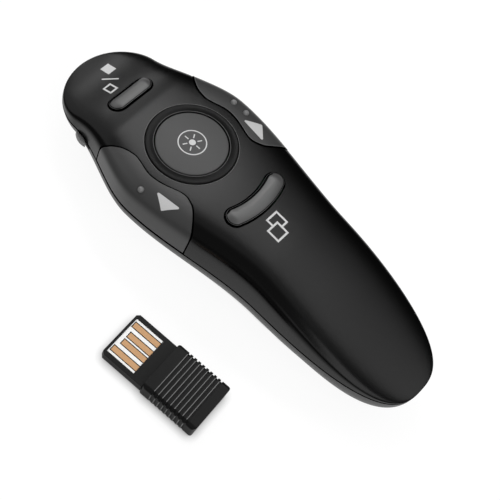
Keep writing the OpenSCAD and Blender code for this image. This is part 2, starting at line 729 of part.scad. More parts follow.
// The four contact pads: the outer two reach nearer to the plug's front.
module contact_pads(t) {
    for (k = [-3.5, -1, 1, 3.5]) translate([abs(k) > 2 ? 0.9 : 1.6, k - 0.7, plug_lift + plug_t - 0.15 - t])
        cube([abs(k) > 2 ? 7.1 : 6.4, 1.4, t + eps]);
}
module receiver_contacts() color("#e0a050") receiver_frame() difference() {
    contact_pads(0.25);
    translate([0, 0, far / 2 + plug_lift + plug_t - 0.15]) cube([far, far, far], center = true);
}
module receiver_board() color("#1f5a34") receiver_frame()
    translate([plug_len + tongue_len, -receiver_board_w / 2 + 0.1, plug_lift])
        cube([grip_len - tongue_len - 2.1, receiver_board_w - 0.2, 0.8]);
module receiver_chip() color("#202022") receiver_frame()
    translate([plug_len + 5, -2.2, plug_lift + 0.8]) cube([4.4, 4.4, 0.9]);

upper_shell();
lower_shell();
button_ring();
circuit_board();
switch_bodies();
power_switch();
controller_chip();
radio_chip();
crystal();
capacitors();
laser_module();
laser_lens();
nose_bezel();
board_screws();
case_screws();
battery();
battery_spring();
battery_contact();
laser_button();
laser_plunger();
previous_key();
previous_plunger();
next_key();
next_plunger();
screen_key();
screen_plunger();
window_key();
window_plunger();
power_slider();
battery_door();
receiver_grip();
receiver_plug_frame();
receiver_insulator();
receiver_contacts();
receiver_board();
receiver_chip();
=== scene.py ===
"""Wireless presentation clicker with its USB receiver: the looks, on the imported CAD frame."""
import math

import bmesh
import bpy
import numpy as np
from mathutils import Matrix, Vector

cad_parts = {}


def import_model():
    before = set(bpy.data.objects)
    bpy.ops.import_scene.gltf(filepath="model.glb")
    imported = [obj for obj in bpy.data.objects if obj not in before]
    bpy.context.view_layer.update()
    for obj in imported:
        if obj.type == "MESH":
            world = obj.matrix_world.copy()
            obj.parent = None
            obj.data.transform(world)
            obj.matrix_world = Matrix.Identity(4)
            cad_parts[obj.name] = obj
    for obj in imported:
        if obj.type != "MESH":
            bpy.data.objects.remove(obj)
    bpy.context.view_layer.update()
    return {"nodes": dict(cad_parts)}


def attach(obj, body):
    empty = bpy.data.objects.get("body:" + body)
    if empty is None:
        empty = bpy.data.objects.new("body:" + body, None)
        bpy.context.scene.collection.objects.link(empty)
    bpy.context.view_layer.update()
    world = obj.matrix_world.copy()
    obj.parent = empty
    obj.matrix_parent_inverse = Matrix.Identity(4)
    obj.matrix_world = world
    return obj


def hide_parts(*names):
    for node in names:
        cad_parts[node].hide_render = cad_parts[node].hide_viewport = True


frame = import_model()
NODES = frame["nodes"]
MM = 0.001

# ---------------------------------------------------------------- the body's form, in mm
# s runs from the laser end, y across, z from the joint between the shells.
BODY_LEN, HEAD_LEN, HEAD_HALF = 104.0, 10.3, 12.3
WING_AT, WING_HALF, GRIP_AT, GRIP_HALF, TAIL_POWER = 32.0, 18.0, 66.5, 13.75, 2.75
MID = BODY_LEN / 2
SPLIT, REST_CUT = 10.5, 1.1
BELLY = SPLIT + REST_CUT
NOSE_RISE, NOSE_SLOPE = 0.5, 0.1
DECK_AT, DECK_RISE, DECK_SLOPE = 20.0, 7.3, 0.12
CROWN_AT, CROWN_RISE = 56.0, 10.2
TAIL_RISE, TAIL_SLOPE = 0.3, -0.195
ARCH, SHOULDER_POWER = 0.03, 8.7
NOSE_SQUARE, BELLY_SQUARE, TAIL_SQUARE = 1.5, 2.1, 3.0
BELLY_FROM, BELLY_TO, NOSE_LIFT, TAIL_LIFT = 22.0, 79.0, 0.15, 0.05
WALL, REVEAL = 1.6, 0.25
# What is left of a shell's height where it is drawn in, and what is left off each end of its length.
LEAST_RISE, TIP = 0.05, 0.003


def ease(t):
    u = np.clip(t, 0, 1)
    return u * u * (3 - 2 * u)


def hermite(a, b, slope_a, slope_b, length, t):
    u = np.clip(t, 0, 1)
    return ((2 * u**3 - 3 * u**2 + 1) * a + (3 * u**2 - 2 * u**3) * b
            + length * ((u**3 - 2 * u**2 + u) * slope_a + (u**3 - u**2) * slope_b))


def crown(s):
    """Height of the cover along its middle."""
    s = np.asarray(s, float)
    deck_len, tail_len = CROWN_AT - DECK_AT, BODY_LEN - CROWN_AT
    nose = hermite(NOSE_RISE, DECK_RISE, NOSE_SLOPE, DECK_SLOPE, DECK_AT, s / DECK_AT)
    deck = hermite(DECK_RISE, CROWN_RISE, DECK_SLOPE, 0, deck_len, (s - DECK_AT) / deck_len)
    tail = hermite(CROWN_RISE, TAIL_RISE, 0, TAIL_SLOPE, tail_len, (s - CROWN_AT) / tail_len)
    return np.where(s < DECK_AT, nose, np.where(s < CROWN_AT, deck, tail))


def crown_slope(s):
    return math.atan(float(crown(s + 0.5) - crown(s - 0.5)))


def half_w(s, d=0.0):
    """Half the body's width at s, with its outline drawn in by d."""
    s = np.asarray(s, float)
    head = (HEAD_HALF - d) * np.sqrt(np.maximum(0, 1 - ((HEAD_LEN - s) / (HEAD_LEN - d)) ** 2))
    front = HEAD_HALF + (WING_HALF - HEAD_HALF) * ease((s - HEAD_LEN) / (WING_AT - HEAD_LEN)) - d
    back = WING_HALF + (GRIP_HALF - WING_HALF) * ease((s - WING_AT) / (GRIP_AT - WING_AT)) - d
    t = np.maximum(0, (s - GRIP_AT) / (BODY_LEN - GRIP_AT - d))
    tail = (GRIP_HALF - d) * np.maximum(0, 1 - t**TAIL_POWER) ** (1 / TAIL_POWER)
    return np.select([s < HEAD_LEN, s < WING_AT, s < GRIP_AT], [head, front, back], tail)


def spread(s, y, d=0.0):
    """How far out a point lies: 0 on the middle line, 1 on the outline."""
    s, y = np.asarray(s, float), np.abs(y)
    head = np.hypot((HEAD_LEN - s) / (HEAD_LEN - d), y / (HEAD_HALF - d))
    t = np.maximum(0, (s - GRIP_AT) / (BODY_LEN - GRIP_AT - d))
    tail = (t**TAIL_POWER + (y / (GRIP_HALF - d)) ** TAIL_POWER) ** (1 / TAIL_POWER)
    return np.select([s < HEAD_LEN, s > GRIP_AT], [head, tail], y / np.maximum(half_w(s, d), 1e-6))


def dome(u, power):
    return np.where(u > 1 - 1e-6, 0, np.maximum(0, 1 - u**power) ** (1 / power))


def top_z(s, y, d=0.0):
    u = spread(s, y, d)
    arched = 1 - ARCH * np.minimum(u, 1) ** 2
    return np.maximum(crown(s) - d, LEAST_RISE) * arched * dome(u, SHOULDER_POWER)


def belly_power(s):
    head = NOSE_SQUARE + (BELLY_SQUARE - NOSE_SQUARE) * ease(s / BELLY_FROM)
    to_tail = ease((s - BELLY_TO) / (BODY_LEN - BELLY_TO))
    return np.where(s < BELLY_FROM, head, BELLY_SQUARE + (TAIL_SQUARE - BELLY_SQUARE) * to_tail)


def belly_z(s, y, d=0.0):
    s = np.asarray(s, float)
    e = 2 * s / BODY_LEN - 1
    lift = np.where(e < 0, NOSE_LIFT, TAIL_LIFT) * e**4
    return -np.maximum(BELLY * (1 - lift) - d, LEAST_RISE) * dome(spread(s, y, d), belly_power(s))


def stations(inset, count):
    """Places along the body, from end to end, close together at both ends."""
    t = (1 - np.cos(np.pi * np.arange(count + 1) / count)) / 2
    return inset + TIP + (BODY_LEN - 2 * inset - 2 * TIP) * t


def plan_outline(d, n=160):
    side = [(x - MID, float(half_w(x, d))) for x in stations(d, n)]
    return side + [(x, -y) for x, y in reversed(side)]


# ---------------------------------------------------------------- meshes
# Bounds of cutting tools, in mm: clear of the body along, across and up, and through a key's opening.
CLEAR_X, CLEAR_Y, CLEAR_Z = 80, 40, 40
CUT_LOW, CUT_HIGH = -6, 5
# How a row of points across a shell crowds towards its edges.
TOP_CROWD, BELLY_CROWD = 0.5, 0.8


def mesh_object(name, verts, faces):
    mesh = bpy.data.meshes.new(name)
    mesh.from_pydata([tuple(v) for v in np.asarray(verts, float) * MM], [], [list(f) for f in faces])
    mesh.update()
    obj = bpy.data.objects.new(name, mesh)
    bpy.context.scene.collection.objects.link(obj)
    return obj


def outward(obj):
    b = bmesh.new()
    b.from_mesh(obj.data)
    bmesh.ops.recalc_face_normals(b, faces=b.faces)
    b.to_mesh(obj.data)
    b.free()
    return obj


def grid_faces(m, n, wrap=False, start=0):
    """Quads between m rows of n points."""
    faces = []
    for i in range(m - 1):
        row, above = start + i * n, start + (i + 1) * n
        for k in range(n if wrap else n - 1):
            after = (k + 1) % n
            faces.append((row + k, row + after, above + after, above + k))
    return faces


def body_solid(name, upper, inset=0.0, lift=0.0, rings=230, steps=96):
    """The whole upper or lower half of the body, closed at the joint."""
    c = np.cos(np.pi * np.arange(steps + 1) / steps)
    across = -np.sign(c) * np.abs(c) ** (TOP_CROWD if upper else BELLY_CROWD)
    grid_s, f = np.meshgrid(stations(inset, rings), across, indexing="ij")
    y = f * half_w(grid_s, inset)
    z = top_z(grid_s, y, inset) if upper else belly_z(grid_s, y, inset)
    verts = np.stack([grid_s - MID, y, z + SPLIT + lift], -1).reshape(-1, 3)
    n = steps + 1
    faces = grid_faces(rings + 1, n)
    faces += [(i * n + steps, i * n, i * n + n, i * n + n + steps) for i in range(rings)]
    faces += [tuple(range(n)), tuple(range(rings * n + steps, rings * n - 1, -1))]
    return outward(mesh_object(name, verts, faces))


def hollow(upper, lift):
    """The room inside a shell, to cut it with."""
    return body_solid("tool", upper, WALL, lift, 120, 48)


def prism(name, outline, low, high, matrix=None):
    n = len(outline)
    verts = [(x, y, low) for x, y in outline] + [(x, y, high) for x, y in outline]
    faces = [tuple(range(n)), tuple(range(n, 2 * n))]
    faces += [(k, (k + 1) % n, n + (k + 1) % n, n + k) for k in range(n)]
    obj = mesh_object(name, verts, faces)
    if matrix is not None:
        obj.data.transform(matrix)
    return outward(obj)


def block(name, corner, size, matrix=None):
    x, y, z = corner
    a, b, c = size
    return prism(name, [(x, y), (x + a, y), (x + a, y + b), (x, y + b)], z, z + c, matrix)


def disc_points(r, n=128, x=0.0, y=0.0):
    turns = [2 * math.pi * k / n for k in range(n)]
    return [(x + r * math.cos(a), y + r * math.sin(a)) for a in turns]


def lathe(name, profile, n=192, matrix=None):
    """Turns a closed profile of (radius, height) about Z."""
    angle = 2 * np.pi * np.arange(n) / n
    verts = np.array([[(r * math.cos(a), r * math.sin(a), z) for r, z in profile] for a in angle])
    m = len(profile)
    faces = [(i * m + k, ((i + 1) % n) * m + k, ((i + 1) % n) * m + (k + 1) % m, i * m + (k + 1) % m)
             for i in range(n) for k in range(m)]
    obj = mesh_object(name, verts.reshape(-1, 3), faces)
    b = bmesh.new()
    b.from_mesh(obj.data)
    bmesh.ops.remove_doubles(b, verts=b.verts, dist=1e-8)
    bmesh.ops.dissolve_degenerate(b, edges=b.edges, dist=1e-9)
    b.to_mesh(obj.data)
    b.free()
    if matrix is not None:
        obj.data.transform(matrix)
    return outward(obj)


def combine(obj, tool, operation="DIFFERENCE"):
    """A boolean of obj with tool, which is used up."""
    mod = obj.modifiers.new("combine", "BOOLEAN")
    mod.operation, mod.object, mod.solver = operation, tool, "MANIFOLD"
    done = bpy.data.meshes.new_from_object(obj.evaluated_get(bpy.context.evaluated_depsgraph_get()))
    obj.modifiers.clear()
    obj.data = done
    bpy.data.objects.remove(tool)


def smooth(obj, angle=32):
    b = bmesh.new()
    b.from_mesh(obj.data)
    limit = math.radians(angle)
    for face in b.faces:
        face.smooth = True
    for edge in b.edges:
        edge.smooth = len(edge.link_faces) == 2 and edge.calc_face_angle(0) < limit
    b.to_mesh(obj.data)
    b.free()


def dress(obj, material, body, slot, *nodes):
    """Smooths a piece, gives it its material and puts it on its body, in place of its CAD nodes."""
    obj.data.materials.clear()
    obj.data.materials.append(material)
    smooth(obj)
    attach(obj, body)
    if nodes:
        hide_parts(*nodes)


def frame_at(s, tilt):
    """Frame on the crown at s, turned by tilt radians so that its X follows the slope."""
    place = Matrix.Translation(Vector((s - MID, 0, SPLIT + float(crown(s)))) * MM)
    return place @ Matrix.Rotation(-tilt, 4, "Y")


# ---------------------------------------------------------------- materials
def grey(value):
    return (value, value, value)


def principled(name, color, roughness, **values):
    mat = bpy.data.materials.new(name)
    mat.use_nodes = True
    shader = mat.node_tree.nodes["Principled BSDF"]
    shader.inputs["Base Color"].default_value = (*color, 1)
    shader.inputs["Roughness"].default_value = roughness
    for key, value in values.items():
        shader.inputs[key.replace("_", " ")].default_value = value
    return mat


def soften(mat, radius, grain=0.0, scale=900.0):
    """Rounded edges for the light, and a fine moulded grain."""
    nodes, links = mat.node_tree.nodes, mat.node_tree.links
    bevel = nodes.new("ShaderNodeBevel")
    bevel.samples = 4
    bevel.inputs["Radius"].default_value = radius * MM
    normal = bevel.outputs["Normal"]
    if grain:
        noise = nodes.new("ShaderNodeTexNoise")
        noise.inputs["Scale"].default_value = scale
        noise.inputs["Detail"].default_value = 3
        coords = nodes.new("ShaderNodeTexCoord")
        links.new(coords.outputs["Object"], noise.inputs["Vector"])
        bump = nodes.new("ShaderNodeBump")
        bump.inputs["Strength"].default_value = grain
        bump.inputs["Distance"].default_value = 0.05 * MM
        links.new(noise.outputs["Fac"], bump.inputs["Height"])
        links.new(normal, bump.inputs["Normal"])
        normal = bump.outputs["Normal"]
    links.new(normal, nodes["Principled BSDF"].inputs["Normal"])
    return mat


SHELL = soften(principled("shell_satin", grey(0.0018), 0.21, Specular_IOR_Level=0.12), 0.12, 0.1)
BELLY_MAT = soften(principled("belly_satin", grey(0.06), 0.4, Specular_IOR_Level=0.2), 0.12, 0.1)
KEY = soften(principled("key_satin", grey(0.045), 0.3, Specular_IOR_Level=0.2), 0.15, 0.1)
CAP = soften(principled("cap_satin", grey(0.06), 0.36, Specular_IOR_Level=0.5), 0.03, 0.1)
DISC = soften(principled("disc_satin", grey(0.065), 0.4, Specular_IOR_Level=0.2), 0.1, 0.1)
RING = principled("ring_band", grey(0.009), 0.3, Specular_IOR_Level=0.05)
# The raised dots: a lighter copy of the side keys' plastic, a painted highlight, with more specular so that
# they also catch the lamps.
DOT_HIGHLIGHT = principled("dot_painted_highlight", grey(0.16), 0.45, Specular_IOR_Level=0.6)
KNOB = principled("knob_grey", grey(0.2), 0.5, Specular_IOR_Level=0.2)
# Light grey painted highlight for the fine lines along the rims of the ring and the far side key.
EDGE_HIGHLIGHT = principled("painted_edge_highlight", grey(0.11), 0.5, Specular_IOR_Level=0.2)
# Light grey painted highlight for the lines along the receiver's rib grooves.
RIB_HIGHLIGHT = principled("painted_rib_highlight", grey(0.2), 0.6, Specular_IOR_Level=0.2)
# Near-black painted shade for the walls of the gaps, the groove between the shells and round the receiver's
# contacts.
GAP_SHADE = principled("painted_gap_shade", grey(0.0005), 0.9, Specular_IOR_Level=0.0)
PRINT = principled("print_grey", grey(0.62), 0.6)
KEY_PRINT = principled("key_print_grey", grey(0.5), 0.6)
RECEIVER = soften(principled("receiver_satin", grey(0.006), 0.35, Specular_IOR_Level=0.12), 0.12)
STEEL = principled("steel", grey(0.55), 0.3, Metallic=1.0)
DARK_STEEL = principled("dark_steel", grey(0.16), 0.35, Metallic=1.0)
NICKEL = principled("nickel", (0.66, 0.65, 0.62), 0.2, Metallic=1.0)
BRASS = principled("brass", (0.62, 0.44, 0.2), 0.3, Metallic=1.0)
COPPER = principled("contact_copper", (0.6, 0.34, 0.16), 0.4, Specular_IOR_Level=0.3)
INSULATOR = principled("insulator_white", (0.95, 0.95, 0.94), 0.4, Specular_IOR_Level=0.3)
BOARD = principled("board_green", (0.012, 0.1, 0.035), 0.3)
CHIP = principled("chip_black", (0.015, 0.015, 0.016), 0.5)
CERAMIC = principled("ceramic_tan", (0.4, 0.3, 0.2), 0.5)
PLUNGER = principled("plunger_white", (0.6, 0.6, 0.56), 0.5)
CELL = principled("cell_jacket", (0.45, 0.3, 0.07), 0.25, Metallic=0.4)
LENS = principled("lens_glass", (0.8, 0.88, 0.92), 0.02, Transmission_Weight=1.0, IOR=1.5)
BEZEL = principled("bezel_black", (0.02, 0.02, 0.022), 0.4)

# CAD pieces that are shown as they are.
CAD_MATERIALS = [
    (BOARD, ("circuit_board", "receiver_board")),
    (STEEL, ("switch_bodies", "power_switch", "board_screws")),
    (DARK_STEEL, ("case_screws",)),
    (NICKEL, ("crystal", "battery_spring", "battery_contact")),
    (CHIP, ("controller_chip", "radio_chip", "receiver_chip")),
    (CERAMIC, ("capacitors",)),
    (BRASS, ("laser_module",)),
    (LENS, ("laser_lens",)),
    (BEZEL, ("nose_bezel",)),
    (CELL, ("battery",)),
    (PLUNGER, ("laser_plunger", "previous_plunger", "next_plunger", "screen_plunger", "window_plunger")),
    (KNOB, ("power_slider",)),
    (RECEIVER, ("receiver_grip", "receiver_plug_frame")),
    (INSULATOR, ("receiver_insulator",)),
    (COPPER, ("receiver_contacts",)),
]
for material, names in CAD_MATERIALS:
    for node in names:
        NODES[node].data.materials.clear()
        NODES[node].data.materials.append(material)

# ---------------------------------------------------------------- the keys' sizes and outlines, in mm
RING_AT, RING_R, BUTTON_R = 32.4, 10.15, 8.0
RING_GAP, RING_PROUD, RING_SEAT, RING_BAND = 0.15, 0.15, 1.0, 0.8
KEY_GAP, KEY_PROUD, KEY_RISE, WING_PROUD, KEY_UNDER = 0.3, 0.6, 0.3, 0.15, 0.35
SCREEN_AT, SCREEN_HALF, SCREEN_R, SCREEN_DROP = 14.3, 3.8, 2.1, 1.4
WINDOW_ARC, WINDOW_ANGLE, WINDOW_R, WINDOW_DROP = 19.5, math.radians(19), 2.2, 1.6
WINDOW_AT = RING_AT + WINDOW_ARC
WING_FRONT, WING_BACK = 19.6, 47.4
# The side keys' inner edge, from front to back.
WING_EDGE = [(20.5, 13.9), (21.5, 13), (23.6, 11.8), (26.2, 11.3), (28, 11.6), (30.8, 12.4), (33, 12.5),
             (35.5, 12), (38.8, 10.9), (40.4, 10.7), (41.7, 11), (43.3, 11.8), (45, 13.5), (46.3, 15)]
DOT_R, DOT_END = 0.7, -0.5
# A cap's edge: its height as a share of the rise, how far the wall ends below it, and its rounding.
CAP_EDGE, CAP_WALL_DROP, CAP_ROUND = 0.45, 0.2, 0.15
DISC_TOP, DISC_BALL, DISC_ROUND = RING_PROUD + 0.35, 90.0, 0.2
RING_FRAME, SCREEN_FRAME, WINDOW_FRAME = (
    frame_at(s, crown_slope(s)) for s in (RING_AT, SCREEN_AT, WINDOW_AT))


def spline(points, n=12):
    """Catmull-Rom through the points, as part.scad has it."""
    p = [np.array(q, float) for q in points]
    p = [2 * p[0] - p[1]] + p + [2 * p[-1] - p[-2]]
    out = []
    for i in range(1, len(p) - 2):
        a, b, c, d = p[i - 1], p[i], p[i + 1], p[i + 2]
        for k in range(n):
            t = k / n
            out.append(0.5 * (2 * b + (c - a) * t + (2 * a - 5 * b + 4 * c - d) * t**2
                              + (3 * b - a - 3 * c + d) * t**3))
    return out


def wing_plan(side, g=0.0):
    """Outline of a side key, or of its opening with a gap of g."""
    ends = [(s, float(half_w(s))) for s in (WING_FRONT, WING_BACK)]
    edge = spline([ends[0]] + WING_EDGE + [ends[1]])
    centre, grow = (WING_FRONT + WING_BACK) / 2, 1 + 2 * g / (WING_BACK - WING_FRONT)
    reach, flare = WING_HALF + 4, 1
    pts = [(centre + (x - centre) * grow - MID, y - g) for x, y in edge]
    last = centre + (WING_BACK - centre) * grow - MID
    pts += [(last, ends[1][1] - g), (last + flare, reach), (pts[0][0] - flare, reach)]
    return [(x, side * y) for x, y in pts]


def pill_outline(half, r, n=24):
    ends = [(r * math.cos(a), half + r * math.sin(a)) for a in np.linspace(0, math.pi, n)]
    return ends + [(-x, -y) for x, y in ends]


def arc_outline(r, n=24):
    """Band of half width r about the curved key's centre line, in the key's own frame."""
    pts = []
    for radius, way in ((WINDOW_ARC + r, 1), (WINDOW_ARC - r, -1)):
        pts += [(radius * math.cos(a) - WINDOW_ARC, radius * math.sin(a))
                for a in way * np.linspace(-WINDOW_ANGLE, WINDOW_ANGLE, 2 * n)][1:-1]
        end = way * WINDOW_ANGLE
        cx, cy = WINDOW_ARC * (math.cos(end) - 1), WINDOW_ARC * math.sin(end)
        start = end if way > 0 else end + math.pi
        pts += [(cx + r * math.cos(start + a), cy + r * math.sin(start + a))
                for a in np.linspace(0, math.pi, n)]
    return pts


def domed_key(name, outline, r, rise, drop, matrix):
    """Cap with a rounded top: rings of the outline, drawn in as they rise."""
    edge = rise * CAP_EDGE
    wall = edge - CAP_WALL_DROP
    ball = (r * r + (rise - edge) ** 2) / (2 * (rise - edge))

    def on_ball(rho):
        return rise - ball + math.sqrt(ball**2 - rho**2)

    rings = [(r, -drop), (r, wall)]
    for a in np.linspace(0, math.pi / 2, 7)[1:]:
        rings.append((r - CAP_ROUND * (1 - math.cos(a)), wall + CAP_ROUND * math.sin(a)))
    inner, height = rings[-1]
    step = height - on_ball(inner)
    rings += [(rho, on_ball(rho) + step * (rho / r) ** 4) for rho in np.linspace(inner, 0.02, 14)[1:]]
    loops = [[(x, y, z) for x, y in outline(rho)] for rho, z in rings]
    n = len(loops[0])
    faces = grid_faces(len(loops), n, wrap=True)
    faces += [tuple(range(n)), tuple(range((len(loops) - 1) * n, len(loops) * n))]
    obj = mesh_object(name, np.array(loops).reshape(-1, 3), faces)
    obj.data.transform(matrix)
    return outward(obj)


def disc_z(r):
    """Height of the round button's top in the ring's frame."""
    return DISC_TOP - DISC_BALL + math.sqrt(DISC_BALL**2 - r * r)


# ---------------------------------------------------------------- painted shade on the walls of the gaps
# The cover is read this far out and down, so that its own faces don't count as lying under it.
READ_OUT, READ_DOWN = 0.06, 0.03
# A cap's top has faces that point up at least this much, and lean to the laser end at most this much; the
# rest of the cap gets the painted shade.
CAP_UP, SCREEN_LEAN, WINDOW_LEAN = 0.82, 0.27, 0.36


def paint_gap_shade(obj, inside):
    """Paints shade: gives the near-black gap material to the faces whose middle, in mm, is inside, the walls
    of the gaps, standing in for their shade.
    """
    obj.data.materials.append(GAP_SHADE)
    for face in obj.data.polygons:
        x, y, z = face.center / MM
        if inside(x, y, z, face.normal):
            face.material_index = 1


def under_cover(x, y, z, lift=0.0):
    """Whether a point lies under the cover's outer surface, not on it."""
    s = x + MID
    s += -READ_OUT if s < HEAD_LEN else READ_OUT if s > GRIP_AT else 0
    return z < SPLIT + lift - READ_DOWN + float(top_z(min(max(s, 0), BODY_LEN), abs(y) + READ_OUT))


def outside_cap(place, lean):
    """Faces that get the painted shade: the cap's flanks, and the strip of its top that leans to the laser
    end.
    """
    along, up = place.col[0].to_3d(), place.col[2].to_3d()
    return lambda x, y, z, normal: normal @ up < CAP_UP or normal @ along < -lean


# ---------------------------------------------------------------- upper shell and keys
def upper_shell():
    cover = body_solid("upper_shell_skin", True)
    for side in (-1, 1):
        combine(cover, prism("tool", wing_plan(side, KEY_GAP), SPLIT - 1, CLEAR_Z))
    seat_r = RING_R + RING_GAP
    seat = [(0, -RING_SEAT), (seat_r, -RING_SEAT), (seat_r, CUT_HIGH), (0, CUT_HIGH)]
    combine(cover, lathe("tool", seat, matrix=RING_FRAME))
    for outline, place in [
            (disc_points(RING_R - RING_BAND + 0.05), RING_FRAME),
            (pill_outline(SCREEN_HALF, SCREEN_R + KEY_GAP), SCREEN_FRAME),
            (arc_outline(WINDOW_R + KEY_GAP), WINDOW_FRAME)]:
        combine(cover, prism("tool", outline, CUT_LOW, CUT_HIGH, place))
    combine(cover, hollow(True, -0.01))
    dress(cover, SHELL, "case", "shell", "upper_shell")
    paint_gap_shade(cover, lambda x, y, z, normal: under_cover(x, y, z))


def wing_key(name, side, body, node, dots):
    """Side key that continues the cover, with its raised dots."""
    key = body_solid(name, True, 0, WING_PROUD)
    combine(key, prism("tool", wing_plan(side), SPLIT + KEY_UNDER, CLEAR_Z), "INTERSECT")
    combine(key, hollow(True, 0))
    dress(key, KEY, body, "key", node)
    paint_gap_shade(key, lambda x, y, z, normal: under_cover(x, y, z, WING_PROUD))
    profile = [(DOT_R * math.cos(a), DOT_R * math.sin(a)) for a in np.linspace(math.pi / 2, DOT_END, 10)]
    profile.append((0, DOT_R * math.sin(DOT_END)))
    for k, (s, y) in enumerate(dots):
        place = Vector((s - MID, y, SPLIT + float(top_z(s, y)) + WING_PROUD))
        dot = lathe(f"{name}_dot_{k}", profile, 32, Matrix.Translation(place * MM))
        dress(dot, DOT_HIGHLIGHT, body, "key", node)


def screen_key():
    key = domed_key("screen_key_skin", lambda r: pill_outline(SCREEN_HALF, r), SCREEN_R,
                    KEY_PROUD + KEY_RISE, SCREEN_DROP, SCREEN_FRAME)
    dress(key, CAP, "screen_press", "key", "screen_key")
    paint_gap_shade(key, outside_cap(SCREEN_FRAME, SCREEN_LEAN))


def window_key():
    key = domed_key("window_key_skin", arc_outline, WINDOW_R, KEY_PROUD + KEY_RISE, WINDOW_DROP, WINDOW_FRAME)
    dress(key, CAP, "window_press", "key", "window_key")
    paint_gap_shade(key, outside_cap(WINDOW_FRAME, WINDOW_LEAN))


def button_ring():
    """Ring with a low bead along both edges."""
    inner, outer, top, foot = BUTTON_R + KEY_GAP, RING_R, RING_PROUD, -2.2
    profile = [
        (inner, foot), (inner, top - 0.16), (inner + 0.05, top - 0.05), (inner + 0.16, top),
        (BUTTON_R + 0.5, top - 0.02), (outer - 0.3, top - 0.02),
        (outer - 0.14, top), (outer - 0.05, top - 0.05), (outer, top - 0.16), (outer, -RING_SEAT),
        (outer - RING_BAND, -RING_SEAT), (outer - RING_BAND, foot)]
    dress(lathe("button_ring_skin", profile, 256, RING_FRAME), RING, "case", "ring", "button_ring")


def laser_button():
    rim, foot = BUTTON_R - DISC_ROUND, -2
    profile = [(r, disc_z(r)) for r in np.linspace(0, rim, 20)]
    profile += [(rim + DISC_ROUND * math.sin(a), disc_z(rim) - DISC_ROUND + DISC_ROUND * math.cos(a))
                for a in np.linspace(0, math.pi / 2, 6)[1:]]
    profile += [(BUTTON_R, foot), (0, foot)]
    dress(lathe("laser_button_skin", profile, 256, RING_FRAME), DISC, "laser_press", "disc", "laser_button")


upper_shell()
wing_key("previous_key_skin", -1, "previous_press", "previous_key", [(32.8, -16.2)])
wing_key("next_key_skin", 1, "next_press", "next_key", [(31.2, 15.1), (34.9, 15.0)])
screen_key()
window_key()
button_ring()
laser_button()

# ---------------------------------------------------------------- lower shell and battery door
DOOR_AT, DOOR_HALF, DOOR_T, DOOR_GAP, FLANGE, FLANGE_T = 42.0, 7.0, 1.5, 0.15, 1.0, 0.65
GROOVE_COUNT, GROOVE_FROM, GROOVE_PITCH, GROOVE_W, GROOVE_LEN, GROOVE_DEEP = 6, 3, 1.3, 0.6, 8, 0.3
CASE_SPOTS = [(22.4, 9.4), (22.4, -9.4), (72, 10.4), (72, -10.4)]
RECESS_R, RECESS_EDGE, RECESS_DEEP = 1.9, 1.75, 1.7
LASER_H, BEZEL_R = 6.8, 1.9
SLIDER_AT, SLIDER_DROP, SLIDER_H, SLIDER_TRAVEL, SLIDER_PIN, SLIDER_PIN_H = 14.2, 1.05, 1.6, 2.0, 1.8, 1.0
SEAM_OUT, SEAM_IN, SEAM_DOWN, SEAM_UP = -0.01, 0.5, 0.4, 0.1
FENCE_OUT, FENCE_IN, FENCE_DOWN, FENCE_UP, FENCE_PAST = WALL + 0.3, WALL + 1.1, 4, 2, 0.5
# Rows of a frame whose Z runs along the body.
ALONG_BODY = Matrix(((0, 0, 1, 0), (0, 1, 0, 0), (-1, 0, 0, 0), (0, 0, 0, 1)))


def slab(low, height, name="tool"):
    """Block over the whole plan."""
    return block(name, (-CLEAR_X, -CLEAR_Y, low), (2 * CLEAR_X, 2 * CLEAR_Y, height))


def door_blocks(g):
    """The door's plate and its two runners, grown by g."""
    reach = BODY_LEN - DOOR_AT + g
    plate = block("tool", (DOOR_AT - g - MID, -DOOR_HALF - g, -g),
                  (reach, 2 * (DOOR_HALF + g), DOOR_T + 2 * g))
    runners = block("tool", (DOOR_AT - g - MID, -DOOR_HALF - FLANGE - g, DOOR_T - FLANGE_T - g),
                    (reach, 2 * (DOOR_HALF + FLANGE + g), FLANGE_T + 2 * g))
    return plate, runners


def screw_recess(s, y):
    seat = SPLIT + float(belly_z(s, abs(y) + RECESS_EDGE)) + RECESS_DEEP
    return prism("tool", disc_points(RECESS_R, 48, s - MID, y), -1, seat)


def slider_slot():
    """Slot that the power slider's pin runs in."""
    turn = math.atan(float(half_w(SLIDER_AT + 0.5) - half_w(SLIDER_AT - 0.5)))
    at = Vector((SLIDER_AT - MID, -float(half_w(SLIDER_AT)), SPLIT - SLIDER_DROP)) * MM
    place = Matrix.Translation(at) @ Matrix.Rotation(-turn, 4, "Z")
    length = SLIDER_PIN + SLIDER_TRAVEL + 2 * KEY_GAP
    size = (length, 2 + 2 * WALL, SLIDER_H + SLIDER_DROP)
    return block("tool", (-length / 2, -2, -SLIDER_PIN_H / 2 - REVEAL), size, place)


def lower_shell():
    lower = body_solid("lower_shell_skin", False)
    combine(lower, slab(-20, 20))
    inner = hollow(False, 0.01)
    combine(inner, slab(WALL - 20, 20, "tool_floor"))
    combine(lower, inner)
    groove = slab(SPLIT - REVEAL, 1)
    combine(groove, prism("tool_plan", plan_outline(WALL / 2), 0, 20))
    combine(lower, groove)
    for tool in door_blocks(DOOR_GAP):
        combine(lower, tool)
    for s, y in CASE_SPOTS:
        combine(lower, screw_recess(s, y))
    nose = Matrix.Translation((0, 0, LASER_H * MM)) @ ALONG_BODY
    combine(lower, prism("tool", disc_points(BEZEL_R + 0.05, 64), -MID - 1, -MID + 5, nose))
    combine(lower, slider_slot())
    dress(lower, BELLY_MAT, "case", "shell_lower", "lower_shell")


def shell_seam_shade():
    """Painted shade: a near-black strip at the bottom of the groove between the shells."""
    seam = prism("shell_seam_shade", plan_outline(SEAM_OUT), SPLIT - SEAM_DOWN, SPLIT + SEAM_UP)
    combine(seam, prism("tool", plan_outline(SEAM_IN), 0, 20))
    dress(seam, GAP_SHADE, "case", "shell_lower", "lower_shell")


